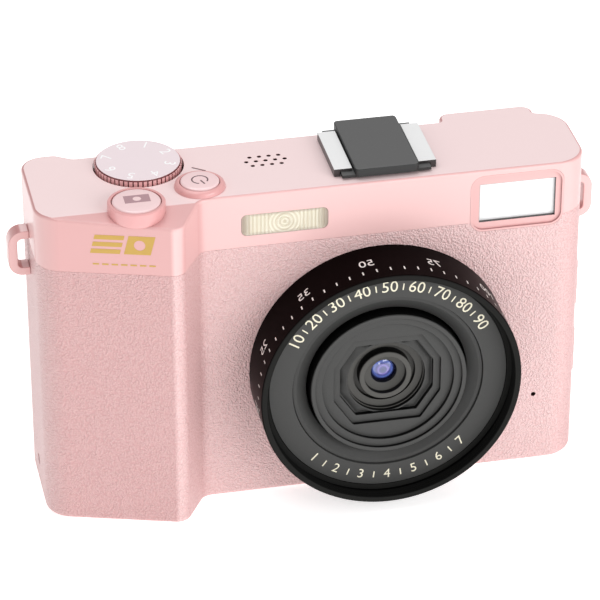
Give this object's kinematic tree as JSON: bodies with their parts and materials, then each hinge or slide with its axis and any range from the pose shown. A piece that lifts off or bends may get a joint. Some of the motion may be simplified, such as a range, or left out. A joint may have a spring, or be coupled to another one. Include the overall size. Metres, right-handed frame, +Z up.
{
  "type": "compact digital camera",
  "caption": "Pink compact digital camera with a hand grip, wide fixed lens with a filter thread, window finder, top dial and buttons, shoe with a slide-in cover, rear screen, strap lugs.",
  "frame": {"origin": "middle of the tripod socket's mouth in the flat base", "axes": "+Z up; the lens looks along -Y; +X is to the right when the camera's front is looked at"},
  "size_m": [0.1232, 0.0399, 0.0744],
  "materials": {
    "pink_shell": "leather-grained moulding",
    "pink_band": "satin paint",
    "pink_button": "satin, pearl",
    "barrel_black": "gloss",
    "ring_grey": "satin",
    "lens_black": "satin",
    "coated_glass": "coated",
    "clear_glass": "polished",
    "screen_glass": "polished",
    "light_lens": "ribbed, translucent",
    "dial_face": "pearl",
    "bright_metal": "polished",
    "plain_metal": "plain",
    "cover_black": "fine grain",
    "dark_part": "plain",
    "black_rubber": "matt",
    "sensor": "polished",
    "circuit_board": "lacquered",
    "battery_skin": "plain"
  },
  "bodies": {
    "camera": {"front_shell": "pink_shell", "rear_shell": "pink_shell", "top_cover": "pink_band", "lens_barrel": "barrel_black", "scale_ring": "ring_grey", "bezel_ring": "lens_black", "rear_glass": "coated_glass", "rear_lens_holder": "lens_black", "filter_glass": "coated_glass", "image_sensor": "sensor", "sensor_board": "circuit_board", "finder_frame": "pink_band", "finder_window": "clear_glass", "finder_tube": "lens_black", "finder_display": "sensor", "eyepiece_glass": "clear_glass", "eyecup": "black_rubber", "light_window": "light_lens", "dial_switch": "dark_part", "shutter_collar": "pink_band", "shutter_switch": "dark_part", "power_collar": "pink_band", "power_switch": "dark_part", "shoe_rails": "bright_metal", "shoe_floor": "dark_part", "loudspeaker": "dark_part", "microphone": "dark_part", "screen_module": "dark_part", "screen_window": "screen_glass", "button_board": "circuit_board", "tripod_nut": "plain_metal", "door_pin": "plain_metal", "battery": "battery_skin", "card_socket": "plain_metal", "memory_card": "dark_part", "main_board": "circuit_board", "case_screws": "bright_metal", "left_lug": "pink_band", "right_lug": "pink_band", "usb_socket": "plain_metal", "video_socket": "plain_metal"},
    "focus_group": {"focus_barrel": "lens_black", "lens_cell": "lens_black", "front_glass": "coated_glass", "middle_glass": "coated_glass"},
    "mode_dial": {"mode_dial": "dial_face"},
    "shutter_button": {"shutter_button": "pink_button"},
    "power_button": {"power_button": "pink_button"},
    "shoe_cover": {"shoe_cover": "cover_black"},
    "menu_button": {"menu_button": "pink_button"},
    "focus_button": {"focus_button": "pink_button"},
    "play_button": {"play_button": "pink_button"},
    "delete_button": {"delete_button": "pink_button"},
    "direction_pad": {"direction_pad": "pink_button"},
    "ok_button": {"ok_button": "pink_button"},
    "zoom_rocker": {"zoom_rocker": "pink_button"},
    "battery_door": {"battery_door": "pink_shell"},
    "door_latch": {"door_latch": "cover_black"},
    "port_cover": {"port_cover": "pink_shell"}
  },
  "joints": [
    {"name": "focus_travel", "type": "slide", "parent": "camera", "child": "focus_group", "axis": [0, -1, 0], "range_m": [0, 0.0004]},
    {"name": "dial_turn", "type": "hinge", "parent": "camera", "child": "mode_dial", "pos_m": [-0.0469, 0.0056, 0.07], "axis": [0, 0, 1], "continuous": true},
    {"name": "shutter_press", "type": "slide", "parent": "camera", "child": "shutter_button", "axis": [0, 0, -1], "range_m": [0, 0.0009], "stiffness_N_per_m": 400, "springref_m": -0.0012},
    {"name": "power_press", "type": "slide", "parent": "camera", "child": "power_button", "axis": [0, 0, -1], "range_m": [0, 0.0005], "stiffness_N_per_m": 500, "springref_m": -0.001},
    {"name": "shoe_cover_slide", "type": "slide", "parent": "camera", "child": "shoe_cover", "axis": [0, 1, 0], "range_m": [0, 0.0212]},
    {"name": "menu_button_press", "type": "slide", "parent": "camera", "child": "menu_button", "axis": [0, -1, 0], "range_m": [0, 0.0005], "stiffness_N_per_m": 400, "springref_m": -0.001},
    {"name": "focus_button_press", "type": "slide", "parent": "camera", "child": "focus_button", "axis": [0, -1, 0], "range_m": [0, 0.0005], "stiffness_N_per_m": 400, "springref_m": -0.001},
    {"name": "play_button_press", "type": "slide", "parent": "camera", "child": "play_button", "axis": [0, -1, 0], "range_m": [0, 0.0005], "stiffness_N_per_m": 400, "springref_m": -0.001},
    {"name": "delete_button_press", "type": "slide", "parent": "camera", "child": "delete_button", "axis": [0, -1, 0], "range_m": [0, 0.0005], "stiffness_N_per_m": 400, "springref_m": -0.001},
    {"name": "direction_pad_press", "type": "slide", "parent": "camera", "child": "direction_pad", "axis": [0, -1, 0], "range_m": [0, 0.0005], "stiffness_N_per_m": 400, "springref_m": -0.001},
    {"name": "ok_button_press", "type": "slide", "parent": "camera", "child": "ok_button", "axis": [0, -1, 0], "range_m": [0, 0.0005], "stiffness_N_per_m": 400, "springref_m": -0.001},
    {"name": "zoom_rock", "type": "hinge", "parent": "camera", "child": "zoom_rocker", "pos_m": [-0.0472, 0.0103, 0.0525], "axis": [0, 0, 1], "range_deg": [-4, 4], "stiffness_Nm_per_rad": 0.02},
    {"name": "battery_door_hinge", "type": "hinge", "parent": "camera", "child": "battery_door", "pos_m": [-0.0657, 0, 0.0008], "axis": [0, 1, 0], "range_deg": [0, 90]},
    {"name": "door_latch_slide", "type": "slide", "parent": "battery_door", "child": "door_latch", "axis": [1, 0, 0], "range_m": [0, 0.002]},
    {"name": "port_cover_hinge", "type": "hinge", "parent": "camera", "child": "port_cover", "pos_m": [0.0432, 0.00295, 0.032], "axis": [0, 0, 1], "range_deg": [0, 100]}
  ]
}
